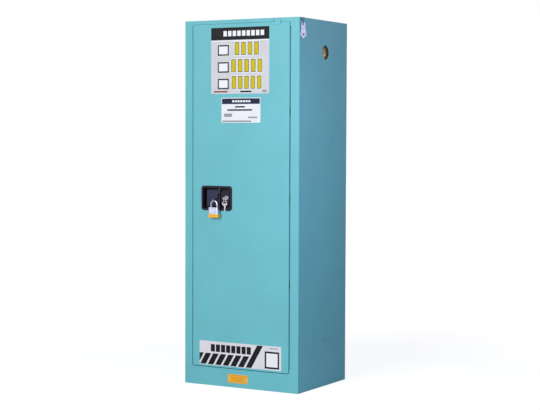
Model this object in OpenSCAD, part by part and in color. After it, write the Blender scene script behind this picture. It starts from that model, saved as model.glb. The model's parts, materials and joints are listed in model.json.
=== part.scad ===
// Corrosives safety cabinet with double steel walls and one self-closing door.
// Millimetres, +Z up, the front faces -Y. The origin is on the floor, under the middle of the body.

/* [Cabinet] */
// Overall width of the body
cabinet_w = 590.6; // [490:0.1:800]
// Depth of the body, without handle and padlock
cabinet_d = 457.2; // [380:0.1:700]
// Height from the floor to the roof
cabinet_h = 1651; // [1370:1:2000]
// Thickness of the sheet steel
sheet = 1.2; // [0.9:0.1:1.6]
// Air space between outer and inner walls
air_space = 38.1; // [32:0.1:46]
// Height of the skirt's lower edge above the floor
skirt_z = 1.5; // [1:0.5:4]
// Height of the bottom plate above the floor
base_z = 6; // [5:0.5:12]
// Depth of the leak-tight sump behind the sill
sump_depth = 51; // [40:1:60]

/* [Door opening] */
// Width of the frame on the latch side
left_stile_w = 39.8; // [36:0.1:60]
// Width of the frame on the hinge side
right_stile_w = 42.3; // [38:0.1:60]
// Height of the frame above the door
top_rail_h = 17; // [15:0.5:24]
// Height of the sill below the door
sill_h = 84; // [70:1:100]
// Gap at the door's latch side and foot
door_gap = 3; // [2:0.5:4]
// Gap above the door
top_gap = 1; // [1:0.5:3]
// Thickness of the door over both skins
door_t = 38; // [34:0.5:46]
// Room between the closed door and the stop flange
stop_gap = 2; // [1:0.5:4]
// Width of the stop flange that the door closes on
stop_w = 8; // [6:1:16]
// Radius of the door's corners
corner_r = 8; // [4:1:14]

/* [Hinge] */
// Half of the gap that the hinge stands in
hinge_half_gap = 3; // [2.8:0.1:3.6]
// Depth of the pin's axis behind the front face
hinge_set_back = 1.5; // [1:0.1:1.5]
// Radius of the knuckles
knuckle_r = 2.5; // [2.3:0.1:2.6]
// Length that each knuckle aims at
knuckle_len = 38; // [25:1:60]
// Radius of the hinge pin
hinge_pin_r = 1.2; // [1:0.1:1.4]
// Thickness of the hinge leaves
leaf_t = 1; // [0.8:0.1:1.2]
// Width of the hinge leaves
leaf_w = 22; // [16:1:30]
// Distance from the door's corners to the hinge's ends
hinge_end = 28; // [20:1:60]
// Radius of the relief hole at each end of the hinge
relief_r = 4; // [3:0.5:5]
// Radius of the smaller relief holes on the latch side
small_relief_r = 3; // [2:0.5:4]

/* [Handle] */
// Height of the middle of the handle housing
handle_z = 852.5; // [700:0.5:950]
// Distance from the door's latch edge to the housing
housing_inset = 46.5; // [46:0.5:70]
// Width of the handle housing
housing_w = 161; // [161:1:180]
// Height of the handle housing
housing_h = 111; // [105:1:130]
// Corner radius of the handle housing
housing_r = 13; // [11:1:16]
// How far the housing's rim stands proud of the door
bezel_t = 2.4; // [1.5:0.1:3]
// Depth of the housing's recess behind the door's face
recess_depth = 26.6; // [24:0.2:27]
// Width of the paddle
paddle_w = 63; // [58:1:66]
// Height of the paddle
paddle_h = 71; // [66:1:76]
// Angle that the paddle is pulled through
paddle_angle = 28; // [20:1:28]
// Diameter of the lock cylinder's rim
lock_rim_d = 22; // [20:1:24]
// Width of the keys' bows
key_bow_w = 26; // [22:0.5:28]
// Length of the keys' bows
key_bow_l = 19; // [18:0.5:22]
// Thickness of the keys
key_t = 1.8; // [1.6:0.1:2]
// Mean radius of the key ring
key_ring_r = 9.5; // [9:0.5:12]

/* [Latch] */
// Distance of the latch hub from the door's latch edge
hub_inset = 24.5; // [24:0.5:26]
// Radius at which the rods hang on the hub
hub_r = 16; // [15:0.5:16]
// Radius of the latch rods
rod_r = 3.2; // [2.5:0.1:3.4]
// Radius of the side bolt
bolt_r = 5; // [4:0.5:5.5]
// How far the bolts reach into their strikes
bolt_reach = 5.4; // [4:0.1:5.8]

/* [Padlock] */
// Width of the padlock's body
padlock_w = 50; // [40:1:54]
// Thickness of the padlock's body
padlock_t = 24; // [20:1:24]
// Height of the padlock's body
padlock_h = 44; // [36:1:50]
// Thickness of the shackle
shackle_d = 8.5; // [7:0.5:9]
// Clear width inside the shackle
shackle_clear_w = 22.5; // [20:0.5:26]
// Clear height inside the shackle, above the body
shackle_clear_h = 25; // [22:1:30]

/* [Inside] */
// Number of shelves
shelf_count = 3; // [3:1:3]
// Depth of a shelf's turned-down edges
shelf_lip = 25; // [20:1:30]
// Distance between the slots of a shelf standard
slot_pitch = 57.15; // [40:0.05:80]
// Width of a shelf standard
standard_w = 22; // [18:1:26]
// Depth of a shelf standard
standard_d = 8; // [7:0.5:10]
// Height of a tray's walls
tray_h = 35; // [25:1:50]
// Thickness of a tray's walls
tray_t = 3; // [2.5:0.5:4]

/* [Vents and fittings] */
// Inner radius of the vent sleeves
vent_r = 29; // [25:0.5:32]
// Distance of the upper vent below the roof
vent_drop = 143; // [110:1:200]
// Height of the lower vent
vent_low_z = 150; // [130:1:200]
// Distance of both vents behind the body's middle
vent_y = 14; // [-40:1:60]
// Height of the earthing screw
earth_z = 219; // [150:1:300]
// Distance of the earthing screw behind the body's middle
earth_y = 9; // [-60:1:60]
// Width of the fusible link at its point
link_w = 26; // [22:1:26]
// Distance between the link's two holes
link_holes = 44; // [40:1:60]

/* [Labels] */
// Thickness of the label foils
label_t = 0.25; // [0.2:0.05:0.4]
// Width of the main label
main_label_w = 301; // [200:1:320]
// Height of the main label
main_label_h = 295; // [200:1:320]
// Width of the information label
info_label_w = 202; // [150:1:240]
// Height of the information label
info_label_h = 111; // [80:1:130]
// Height of the lower label
lower_label_h = 108; // [80:1:130]
// Width of the sill label
sill_label_w = 103; // [80:1:130]
// Height of the sill label
sill_label_h = 39; // [30:1:50]

/* [Hidden] */
$fn = 48;

// Clearances
slip = 0.1;
run = 0.2;
hang = 0.35;
cut = 1;

// Body
x_side = cabinet_w / 2;
y_front = -cabinet_d / 2;
y_back = cabinet_d / 2;
x_liner = x_side - sheet - air_space;
y_liner = y_back - sheet - air_space;
z_liner_top = cabinet_h - sheet - air_space;
floor_top = base_z + 2 * sheet + air_space;

// Door opening
open_x0 = -x_side + left_stile_w;
open_x1 = x_side - right_stile_w;
open_z0 = sill_h;
open_z1 = cabinet_h - top_rail_h;
open_r = corner_r + door_gap;
hinge_x = open_x1 - hinge_half_gap;
hinge_y = y_front + hinge_set_back;
y_stop = y_front + door_t + stop_gap;
y_inside = y_stop + sheet;
dam_top = floor_top + sump_depth;

// Door
door_x0 = open_x0 + door_gap;
door_x1 = hinge_x - hinge_half_gap;
door_z0 = open_z0 + door_gap;
door_z1 = open_z1 - top_gap;
set_out_z1 = open_z1 - door_gap; // hinge, latch, tab and labels are set out from this level
door_mid = (door_x0 + door_x1) / 2;
cavity_y0 = y_front + sheet;
cavity_y1 = y_front + door_t - sheet;
hinge_z0 = door_z0 + hinge_end;
hinge_z1 = set_out_z1 - hinge_end;
knuckles = 2 * floor((hinge_z1 - hinge_z0) / knuckle_len / 2) + 1;
knuckle_pitch = (hinge_z1 - hinge_z0) / knuckles;
knuckle_gap = 0.4;
spring_slots = [for (k = [1:3]) 2 * floor(knuckles * k / 8) + 1];
pin_clear = 0.05;

// Handle housing
housing_x0 = door_x0 + housing_inset;
housing_x1 = housing_x0 + housing_w;
housing_z0 = handle_z - housing_h / 2;
housing_z1 = handle_z + housing_h / 2;
housing_wall = 2;
bezel_w = 9;
recess_x0 = housing_x0 + bezel_w;
recess_x1 = housing_x1 - bezel_w - housing_wall;
recess_z0 = housing_z0 + bezel_w;
recess_z1 = housing_z1 - bezel_w;
recess_r = housing_r - 8;
recess_y = y_front + recess_depth;

// Paddle
finger_gap = 15;
paddle_t = 2.5;
paddle_x0 = recess_x0 + finger_gap;
paddle_x1 = paddle_x0 + paddle_w;
paddle_z0 = handle_z - paddle_h / 2;
paddle_z1 = handle_z + paddle_h / 2;
paddle_y = y_front + 7.6;
paddle_rib = 10;
pivot_y = paddle_y + 5;
pivot_r = 2.5;
barrel_r = 5;
spring_z0 = handle_z - 6;
spring_z1 = handle_z + 22;

// Latch inside the door
hub_x = door_x0 + hub_inset;
hub_z = handle_z - 0.5;
draw_y = cavity_y1 - 4.7;
bar_t = 3;
hub_y = cavity_y1 - 9.7;
rod_y = cavity_y1 - 17.2;
bolt_y = cavity_y1 - 27.2;
lug_len = draw_y - pivot_y;
throw = lug_len * sin(paddle_angle);
hub_angle = asin(throw / hub_r);
drift = hub_r * (1 - cos(hub_angle));
hub_pin_r = 2;
slot_r = hub_pin_r + 0.6;
lug_z0 = paddle_z0 + 3;
lug_h = 9;
lug_t = 3;
nose_r = 2.5;
reach = door_gap + bolt_reach;

// Lock and keys
lock_x = housing_x1 - 31;
lock_z = handle_z + 1.5;
boss_x0 = lock_x - 28;
boss_x1 = lock_x + 15;
boss_z0 = handle_z - 30.5;
boss_z1 = handle_z + 31.5;
boss_y = y_front + 1.6;
plug_r = 6.4;
key_y = boss_y - 2.9 - 1.5 - key_bow_l;
key_strip = 1.9;
key_hole_l = 7.2;
ring_gap = 0.5;
key_wire_r = 0.8;
key_blade_w = 7.6;
key_side = 5;
key_hole_w = 2 * (key_side + key_wire_r + 1.5);
key_ring_x = lock_x + key_side;
key_ring_y = key_y + key_strip / 2;
key_ring_z = lock_z + key_t / 2 + key_wire_r + ring_gap - key_ring_r;
spare_z = key_ring_z - key_ring_r + key_wire_r + run + key_strip;

// Padlock and its eye
shackle_r = (shackle_clear_w + shackle_d) / 2;
eye_x = paddle_x1 - 11;
eye_t = 3;
eye_r = 9;
eye_hole_r = 6;
eye_z = handle_z - 10.5;
padlock_y = y_front - 16.4;
crown_z = eye_z - eye_hole_r + shackle_d / 2 + 0.3;
arch_z = crown_z - shackle_r;
padlock_z1 = crown_z - shackle_d / 2 - shackle_clear_h;
padlock_z0 = padlock_z1 - padlock_h;
bumper_h = 16;
bumper_t = 1.5;

// Inside
standard_x = x_liner - sheet - standard_d;
standard_y = [y_inside + 30, y_liner - sheet - 30 - standard_w];
standard_t = 1.5;
standard_z0 = dam_top + 20;
slots = floor((z_liner_top - sheet - 30 - standard_z0) / slot_pitch);
clip_t = 2;
clip_w = 16;
pad_t = 3;
shelf_half_w = standard_x - clip_t - 1.3;
shelf_y0 = y_inside + 12;
shelf_y1 = y_liner - sheet - 6;
tray_rim = 6;
tray_half_w = shelf_half_w - 10;

function slot_z(n) = standard_z0 + n * slot_pitch;
function shelf_z(i) = slot_z(round(slots * i / (shelf_count + 1))) + shelf_lip;

// Fusible link, hung on the side panel and turned a little to the front
link_turn = 45;
link_x = x_side + link_w / 2 * sin(link_turn) + 1.7;
link_y = y_front + 15;
link_eye_z = cabinet_h - 8;
eye_ring_r = 6;
eye_wire_r = 1.1;
eye_gap = 0.9;
hook_r = 5.5;
hook_low_r = 3.8;
hook_wire_r = 1;
hook_z = link_eye_z - eye_ring_r + eye_wire_r + hook_wire_r + eye_gap - hook_r;
link_hole_r = 4.5;
link_t = 3;
link_z = hook_z - hook_r - 2 * hook_low_r + hook_wire_r + hang - link_hole_r;

// A block between two corners
module box(x0, x1, y0, y1, z0, z1) {
    translate([x0, y0, z0])
        cube([x1 - x0, y1 - y0, z1 - z0]);
}

// A flat shape drawn in X and Z, as thick as the distance from y0 to y1
module upright(y0, y1) {
    translate([0, y1, 0])
        rotate([90, 0, 0])
            linear_extrude(y1 - y0)
                children();
}

// A flat shape drawn in X and Z, laid across the cabinet's width at y, standing in Y and Z
module along_x(x0, x1) {
    translate([x0, 0, 0])
        rotate([90, 0, 90])
            linear_extrude(x1 - x0)
                children();
}

// A rectangle with four round corners
module round_rect(x0, z0, x1, z1, r) {
    translate([x0 + r, z0])
        square([x1 - x0 - 2 * r, z1 - z0]);
    translate([x0, z0 + r])
        square([x1 - x0, z1 - z0 - 2 * r]);
    for (x = [x0 + r, x1 - r])
        for (z = [z0 + r, z1 - r])
            translate([x, z])
                circle(r);
}

// A round bar along Y from y0 to y1
module bar_y(x, z, r, y0, y1) {
    translate([x, y1, z])
        rotate([90, 0, 0])
            cylinder(r = r, h = y1 - y0);
}

// A round bar along X from x0 to x1
module bar_x(y, z, r, x0, x1) {
    translate([x0, y, z])
        rotate([0, 90, 0])
            cylinder(r = r, h = x1 - x0);
}

// A round bar along Z from z0 to z1
module bar_z(x, y, r, z0, z1) {
    translate([x, y, z0])
        cylinder(r = r, h = z1 - z0);
}

// The four relief holes beside the door's corners
module relief_holes() {
    for (z = [hinge_z0 - relief_r, hinge_z1 + relief_r]) {
        bar_y(hinge_x, z, relief_r, y_front - cut, cavity_y0);
        bar_y(door_x0 - door_gap / 2, z, small_relief_r, y_front - cut, cavity_y0);
    }
}

// The web that rounds one corner of the door opening; sx and sz point into the opening
module opening_corner(x, z, sx, sz) {
    translate([x, z])
        difference() {
            translate([min(sx, 0) * open_r, min(sz, 0) * open_r])
                square(open_r);
            translate([sx * open_r, sz * open_r])
                circle(open_r);
        }
}

// Outer shell
module left_side_panel() {
    color("steelblue")
        difference() {
            box(-x_side, -x_side + sheet, cavity_y0, y_back - sheet, skirt_z, cabinet_h - sheet);
            bar_x(vent_y, vent_low_z, vent_r + 2.5 + slip, -x_side - cut, -x_side + sheet + cut);
        }
}

module right_side_panel() {
    color("steelblue")
        difference() {
            box(x_side - sheet, x_side, cavity_y0, y_back - sheet, skirt_z, cabinet_h - sheet);
            bar_x(vent_y, cabinet_h - vent_drop, vent_r + 2.5 + slip, x_side - sheet - cut, x_side + cut);
            bar_x(earth_y, earth_z, 3 + slip, x_side - sheet - cut, x_side + cut);
            bar_x(link_y, link_eye_z, 2 + slip, x_side - sheet - cut, x_side + cut);
        }
}

module back_panel() {
    color("steelblue")
        box(-x_side, x_side, y_back - sheet, y_back, skirt_z, cabinet_h - sheet);
}

module top_panel() {
    color("steelblue")
        box(-x_side, x_side, cavity_y0, y_back, cabinet_h - sheet, cabinet_h);
}

foot_x = x_side - 45;
foot_y = y_back - 45;
foot_stem_r = 4.75;

module base_plate() {
    color("steelblue")
        difference() {
            box(-x_side + sheet, x_side - sheet, cavity_y0, y_back - sheet, base_z, base_z + sheet);
            for (x = [-foot_x, foot_x])
                for (y = [-foot_y, foot_y])
                    bar_z(x, y, foot_stem_r + 1, base_z - cut, base_z + sheet + cut);
        }
}

// Front frame: face strips, returns beside the door and stop flanges behind it
module left_stile() {
    color("mediumturquoise")
        difference() {
            union() {
                box(-x_side, open_x0, y_front, cavity_y0, skirt_z, cabinet_h);
                box(open_x0 - sheet, open_x0, cavity_y0, y_stop, open_z0, open_z1);
                box(open_x0 - sheet, open_x0 + stop_w, y_stop, y_inside, dam_top, z_liner_top - sheet);
            }
            relief_holes();
            bar_x(bolt_y, hub_z + hub_r, bolt_r + 1, open_x0 - sheet - cut, open_x0 + cut);
        }
}

module right_stile() {
    color("mediumturquoise")
        difference() {
            union() {
                box(hinge_x, x_side, y_front, cavity_y0, skirt_z, hinge_z0 - relief_r);
                box(hinge_x, x_side, y_front, cavity_y0, hinge_z1 + relief_r, cabinet_h);
                box(open_x1, x_side, y_front, cavity_y0, hinge_z0 - relief_r, hinge_z1 + relief_r);
                box(open_x1, open_x1 + sheet, cavity_y0, y_stop, open_z0, open_z1);
                box(open_x1 - stop_w, open_x1 + sheet, y_stop, y_inside, dam_top, z_liner_top - sheet);
            }
            relief_holes();
        }
}

module top_rail() {
    color("mediumturquoise")
        difference() {
            union() {
                upright(y_front, cavity_y0) {
                    translate([open_x0, open_z1])
                        square([hinge_x - open_x0, top_rail_h]);
                    opening_corner(open_x0, open_z1, 1, -1);
                    opening_corner(hinge_x, open_z1, -1, -1);
                }
                box(open_x0 - sheet, open_x1 + sheet, cavity_y0, y_stop, open_z1, open_z1 + sheet);
                box(open_x0 - sheet, open_x1 + sheet, y_stop, y_inside, z_liner_top - sheet, open_z1 + sheet);
            }
            bar_z(hub_x + hub_r, rod_y, rod_r + 1, open_z1 - cut, open_z1 + sheet + cut);
        }
}

module front_sill() {
    color("mediumturquoise")
        difference() {
            union() {
                upright(y_front, cavity_y0) {
                    translate([open_x0, skirt_z])
                        square([hinge_x - open_x0, open_z0 - skirt_z]);
                    opening_corner(open_x0, open_z0, 1, 1);
                    opening_corner(hinge_x, open_z0, -1, 1);
                }
                box(open_x0 - sheet, open_x1 + sheet, cavity_y0, y_stop, open_z0 - sheet, open_z0);
                box(-x_liner, x_liner, y_stop, y_inside, floor_top - sheet, dam_top);
            }
            bar_z(hub_x - hub_r, rod_y, rod_r + 1, open_z0 - sheet - cut, open_z0 + cut);
        }
}

// Inner walls
module liner_side(s) {
    z = s > 0 ? cabinet_h - vent_drop : vent_low_z;
    x0 = s > 0 ? x_liner - sheet : -x_liner;
    color("lightsteelblue")
        difference() {
            box(x0, x0 + sheet, y_inside, y_liner - sheet, floor_top, z_liner_top - sheet);
            bar_x(vent_y, z, vent_r + 2.5 + slip, x0 - cut, x0 + sheet + cut);
        }
}

module liner_left() {
    liner_side(-1);
}

module liner_right() {
    liner_side(1);
}

module liner_back() {
    color("lightsteelblue")
        box(-x_liner, x_liner, y_liner - sheet, y_liner, floor_top - sheet, z_liner_top);
}

module liner_top() {
    color("lightsteelblue")
        box(-x_liner, x_liner, y_inside, y_liner - sheet, z_liner_top - sheet, z_liner_top);
}

module liner_floor() {
    color("lightsteelblue")
        box(-x_liner, x_liner, y_inside, y_liner - sheet, floor_top - sheet, floor_top);
}

// Four slotted channels that the shelves hang on; s is the side, y the front edge
slot_w = 4;
slot_h = 14;

module standard(s, y) {
    z0 = floor_top + 6;
    z1 = z_liner_top - sheet - 6;
    x0 = s > 0 ? standard_x : -standard_x - standard_d;
    web = s > 0 ? x0 : x0 + standard_d - standard_t;
    difference() {
        union() {
            box(web, web + standard_t, y, y + standard_w, z0, z1);
            box(x0, x0 + standard_d, y, y + standard_t, z0, z1);
            box(x0, x0 + standard_d, y + standard_w - standard_t, y + standard_w, z0, z1);
        }
        for (n = [0:slots])
            translate([web - cut, y + standard_w / 2 - slot_w / 2, slot_z(n)])
                cube([standard_t + 2 * cut, slot_w, slot_h]);
    }
}

module shelf_standards() {
    color("silver")
        for (s = [-1, 1])
            for (y = standard_y)
                standard(s, y);
}

// One clip: a pad under the shelf's edge, a leg on the standard and a hook in its slot
module clip(s, y, z) {
    mid = y + standard_w / 2;
    mirror([s > 0 ? 0 : 1, 0, 0]) {
        box(standard_x - 14, standard_x, mid - clip_w / 2, mid + clip_w / 2, z - pad_t, z);
        box(standard_x - clip_t, standard_x, mid - clip_w / 2, mid + clip_w / 2, z, z + 16);
        box(standard_x, standard_x + standard_t + 2, mid - 1.7, mid + 1.7, z + 2, z + 12);
    }
}

module shelf_clips() {
    color("gainsboro")
        for (i = [1:shelf_count])
            for (s = [-1, 1])
                for (y = standard_y)
                    clip(s, y, shelf_z(i) - shelf_lip);
}

// A shelf: a plate with its four edges turned down
module shelf(i) {
    z = shelf_z(i);
    color("lightsteelblue")
        difference() {
            box(-shelf_half_w, shelf_half_w, shelf_y0, shelf_y1, z - shelf_lip, z);
            box(-shelf_half_w + sheet, shelf_half_w - sheet, shelf_y0 + sheet, shelf_y1 - sheet,
                z - shelf_lip - cut, z - sheet);
        }
}

// A spill tray with a rim, standing on a shelf
module tray(i) {
    z = shelf_z(i);
    x = tray_half_w - tray_rim;
    y0 = shelf_y0 + 4 + tray_rim;
    y1 = shelf_y1 - 4 - tray_rim;
    color("dimgray")
        difference() {
            union() {
                box(-x, x, y0, y1, z, z + tray_h);
                box(-x - tray_rim, x + tray_rim, y0 - tray_rim, y1 + tray_rim, z + tray_h - tray_t, z + tray_h);
            }
            box(-x + tray_t, x - tray_t, y0 + tray_t, y1 - tray_t, z + tray_t, z + tray_h + cut);
        }
}

module shelf_1() {
    shelf(1);
}

module shelf_2() {
    shelf(2);
}

module shelf_3() {
    shelf(3);
}

module tray_1() {
    tray(1);
}

module tray_2() {
    tray(2);
}

module tray_3() {
    tray(3);
}

// Vents: the upper one on the right, the lower one on the left; drawn for the right side
sleeve_t = 2.5;
sleeve_flange = 6;

module at_vents() {
    translate([0, vent_y, cabinet_h - vent_drop])
        children();
    mirror([1, 0, 0])
        translate([0, vent_y, vent_low_z])
            children();
}

module vent_sleeves() {
    x0 = x_liner - sheet;
    color("darkslategray")
        at_vents()
            difference() {
                union() {
                    bar_x(0, 0, vent_r + sleeve_t, x0 - 1.5, x_side);
                    bar_x(0, 0, vent_r + sleeve_t + sleeve_flange, x0 - 1.5, x0);
                }
                bar_x(0, 0, vent_r, x0 - 1.5 - cut, x_side + cut);
            }
}

module flash_screens() {
    color("goldenrod")
        at_vents()
            for (x = [x_side - 36, x_side - 28])
                bar_x(0, 0, vent_r - slip, x, x + 0.8);
}

module vent_plugs() {
    face = x_side - 9;
    color("darkgoldenrod")
        at_vents() {
            difference() {
                bar_x(0, 0, vent_r - pin_clear, face - 13, face);
                bar_x(0, 0, vent_r - 6, face - 5, face + cut);
            }
            box(face - 5, face - 1, -vent_r + 6, vent_r - 6, -5, 5);
        }
}

module earth_screw() {
    head = 12.5;
    color("silver")
        translate([0, earth_y, earth_z]) {
            bar_x(0, 0, 3, x_side - sheet - 8, x_side + 1.5);
            bar_x(0, 0, 8, x_side, x_side + 1.5);
            translate([x_side + 1.5, 0, 0])
                rotate([0, 90, 0])
                    cylinder(d = head, h = 4.6, $fn = 6);
            translate([x_side - sheet - 5, 0, 0])
                rotate([0, 90, 0])
                    cylinder(d = head, h = 5, $fn = 6);
        }
}

module levelling_feet() {
    color("silver")
        for (x = [-foot_x, foot_x])
            for (y = [-foot_y, foot_y])
                translate([x, y, 0]) {
                    cylinder(r = 17, h = 4);
                    bar_z(0, 0, foot_stem_r, 4, base_z + 28);
                    difference() {
                        translate([0, 0, base_z + sheet])
                            cylinder(d = 19, h = 8, $fn = 6);
                        bar_z(0, 0, foot_stem_r + pin_clear, base_z, base_z + sheet + 8 + cut);
                    }
                }
}

// Continuous hinge: knuckles number 0, 2, 4 ... are the frame's, 1, 3, 5 ... the door's
function is_spring(n) = len([for (k = spring_slots) if (k == n) k]) > 0;

module knuckle(n) {
    z = hinge_z0 + n * knuckle_pitch;
    bar_z(hinge_x, hinge_y, knuckle_r, z + knuckle_gap / 2, z + knuckle_pitch - knuckle_gap / 2);
}

// A leaf is a plate, cut back beside the other leaf's knuckles, with webs that carry its own
module leaf(first, x) {
    web = x > hinge_x ? hinge_x + 1.6 : x;
    y_plate = hinge_y + knuckle_r + 0.6;
    difference() {
        union() {
            box(x, x + leaf_t, y_plate, hinge_y + leaf_w, hinge_z0, hinge_z1);
            for (n = [first:2:knuckles - 1])
                if (!is_spring(n)) {
                    z = hinge_z0 + n * knuckle_pitch + knuckle_gap / 2;
                    knuckle(n);
                    box(web, web + leaf_t + 0.4, hinge_y, y_plate, z, z + knuckle_pitch - knuckle_gap);
                }
        }
        bar_z(hinge_x, hinge_y, hinge_pin_r + pin_clear, hinge_z0 - cut, hinge_z1 + cut);
    }
}

module hinge_frame_leaf() {
    color("cadetblue")
        leaf(0, open_x1 - leaf_t);
}

module hinge_door_leaf() {
    color("cadetblue")
        leaf(1, door_x1);
}

module hinge_pin() {
    color("silver")
        bar_z(hinge_x, hinge_y, hinge_pin_r, hinge_z0, hinge_z1);
}

// Springs wound on the pin, one in the place of each missing knuckle
module hinge_springs() {
    color("gray")
        for (n = spring_slots)
            difference() {
                bar_z(hinge_x, hinge_y, hinge_pin_r + 1.15, hinge_z0 + n * knuckle_pitch + 1,
                    hinge_z0 + (n + 1) * knuckle_pitch - 1);
                bar_z(hinge_x, hinge_y, hinge_pin_r + 0.15, hinge_z0 + n * knuckle_pitch,
                    hinge_z0 + (n + 1) * knuckle_pitch);
            }
}

// Door
module door_outline(inset) {
    round_rect(door_x0 + inset, door_z0 + inset, door_x1 - inset, door_z1 - inset, corner_r - inset);
}

module recess_outline(grow) {
    round_rect(recess_x0 - grow, recess_z0 - grow, recess_x1 + grow, recess_z1 + grow, recess_r + grow);
}

module door_outer_skin() {
    color("mediumturquoise")
        difference() {
            union() {
                upright(y_front, cavity_y0)
                    door_outline(0);
                upright(cavity_y0, cavity_y1)
                    difference() {
                        door_outline(0);
                        door_outline(sheet);
                    }
            }
            relief_holes();
            box(recess_x0 - housing_wall - slip, recess_x1 + housing_wall + slip, y_front - cut, cavity_y0 + cut,
                recess_z0 - housing_wall - slip, recess_z1 + housing_wall + slip);
            bar_x(bolt_y, hub_z + hub_r, bolt_r + run, door_x0 - cut, door_x0 + sheet + cut);
            bar_z(hub_x + hub_r, rod_y, rod_r + run, door_z1 - sheet - cut, door_z1 + cut);
            bar_z(hub_x - hub_r, rod_y, rod_r + run, door_z0 - cut, door_z0 + sheet + cut);
        }
}

module door_inner_skin() {
    color("lightsteelblue")
        upright(cavity_y1, cavity_y1 + sheet)
            door_outline(0);
}

stiffener_x = 80;

module door_stiffener() {
    x = door_mid + stiffener_x;
    z0 = door_z0 + 30;
    z1 = set_out_z1 - 30;
    color("lightsteelblue") {
        box(x - 15, x + 15, cavity_y0, cavity_y0 + sheet, z0, z1);
        for (s = [-1, 1]) {
            box(x + s * 15 - sheet / 2, x + s * 15 + sheet / 2, cavity_y0, cavity_y1, z0, z1);
            box(x + s * 22.5 - 8, x + s * 22.5 + 8, cavity_y1 - sheet, cavity_y1, z0, z1);
        }
    }
}

// Handle housing: a rim, a recess and the boss that holds the lock
module handle_housing() {
    floor_y = recess_y - housing_wall + sheet;
    slot_x0 = paddle_x1 - throw - 5;
    color([0.1, 0.1, 0.12])
        difference() {
            union() {
                upright(y_front - bezel_t, y_front)
                    difference() {
                        round_rect(housing_x0, housing_z0, housing_x1, housing_z1, housing_r);
                        recess_outline(0);
                    }
                upright(y_front, recess_y + housing_wall)
                    difference() {
                        recess_outline(housing_wall);
                        recess_outline(0);
                    }
                upright(recess_y, recess_y + housing_wall)
                    recess_outline(housing_wall);
                box(boss_x0, boss_x1, boss_y, recess_y, boss_z0, boss_z1);
            }
            bar_y(lock_x, lock_z, lock_rim_d / 2 - 1.4, boss_y - cut, recess_y + housing_wall + cut);
            box(slot_x0, paddle_x1 + 5, recess_y - cut, recess_y + housing_wall + cut,
                lug_z0 - 2, lug_z0 + lug_h + 2);
            bar_z(paddle_x1, pivot_y, pivot_r + pin_clear, recess_z0 - housing_wall - cut,
                recess_z1 + housing_wall + cut);
        }
}

// Paddle: a shallow pan on two barrels, with the lug that pulls the draw bar
module paddle() {
    eye_slot = [-7, 2.5];
    color([0.16, 0.17, 0.2])
        difference() {
            union() {
                box(paddle_x0, paddle_x1, paddle_y, paddle_y + paddle_t, paddle_z0, paddle_z1);
                box(paddle_x0, paddle_x0 + paddle_t, paddle_y, paddle_y + paddle_rib, paddle_z0, paddle_z1);
                for (z = [paddle_z0, paddle_z1 - paddle_t])
                    box(paddle_x0, paddle_x1, paddle_y, paddle_y + paddle_rib, z, z + paddle_t);
                bar_z(paddle_x1, pivot_y, barrel_r, paddle_z0, spring_z0 - run);
                bar_z(paddle_x1, pivot_y, barrel_r, spring_z1 + run, paddle_z1);
                box(paddle_x1 - lug_t / 2, paddle_x1 + lug_t / 2, pivot_y, draw_y, lug_z0, lug_z0 + lug_h);
                bar_z(paddle_x1, draw_y, nose_r, lug_z0, lug_z0 + lug_h);
            }
            bar_z(paddle_x1, pivot_y, pivot_r + pin_clear, paddle_z0 - cut, paddle_z1 + cut);
            box(eye_x + eye_slot[0], eye_x + eye_slot[1], paddle_y - cut, paddle_y + paddle_t + cut,
                eye_z - eye_r - 3, eye_z + eye_r + 3);
            box(paddle_x1 - 6, paddle_x1 + cut, paddle_y - cut, paddle_y + paddle_t + cut, spring_z0, spring_z1);
        }
}

module paddle_pin() {
    color("silver")
        bar_z(paddle_x1, pivot_y, pivot_r, recess_z0 - housing_wall, recess_z1 + housing_wall);
}

module paddle_spring() {
    r = pivot_r + 0.4;
    color("gray") {
        difference() {
            bar_z(paddle_x1, pivot_y, r + 1.5, spring_z0 + run, spring_z1 - run);
            bar_z(paddle_x1, pivot_y, r, spring_z0, spring_z1);
        }
        bar_y(paddle_x1 + r + 0.6, handle_z + 8, 0.8, pivot_y + 1, recess_y);
    }
}

module padlock_eye() {
    color("silver")
        difference() {
            union() {
                box(eye_x - eye_t / 2, eye_x + eye_t / 2, padlock_y, recess_y, eye_z - eye_r, eye_z + eye_r);
                bar_x(padlock_y, eye_z, eye_r, eye_x - eye_t / 2, eye_x + eye_t / 2);
                box(eye_x - 13, eye_x + eye_t / 2, recess_y - 2, recess_y, eye_z - eye_r, eye_z + eye_r);
            }
            bar_x(padlock_y, eye_z, eye_hole_r, eye_x - eye_t, eye_x + eye_t);
        }
}

// Lock
module lock_cylinder() {
    back = recess_y + housing_wall;
    color("gainsboro")
        difference() {
            union() {
                bar_y(lock_x, lock_z, lock_rim_d / 2, boss_y - 2.5, boss_y);
                bar_y(lock_x, lock_z, lock_rim_d / 2 - 1.5, boss_y, back + 2);
                bar_y(lock_x, lock_z, lock_rim_d / 2 + 1, back, back + 2);
            }
            bar_y(lock_x, lock_z, plug_r + pin_clear, boss_y - 2.5 - cut, back + 2 + cut);
        }
}

module lock_plug() {
    cam_y = cavity_y1 - 3.4;
    color("silver") {
        difference() {
            bar_y(lock_x, lock_z, plug_r, boss_y - 2.9, cam_y);
            box(lock_x - key_blade_w / 2 - slip, lock_x + key_blade_w / 2 + slip, boss_y - 4, boss_y + 19,
                lock_z - key_t / 2 - slip, lock_z + key_t / 2 + slip);
        }
        upright(cam_y, cam_y + 2)
            translate([lock_x, lock_z]) {
                circle(7);
                translate([-5, 0])
                    square([10, 26]);
            }
    }
}

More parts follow.
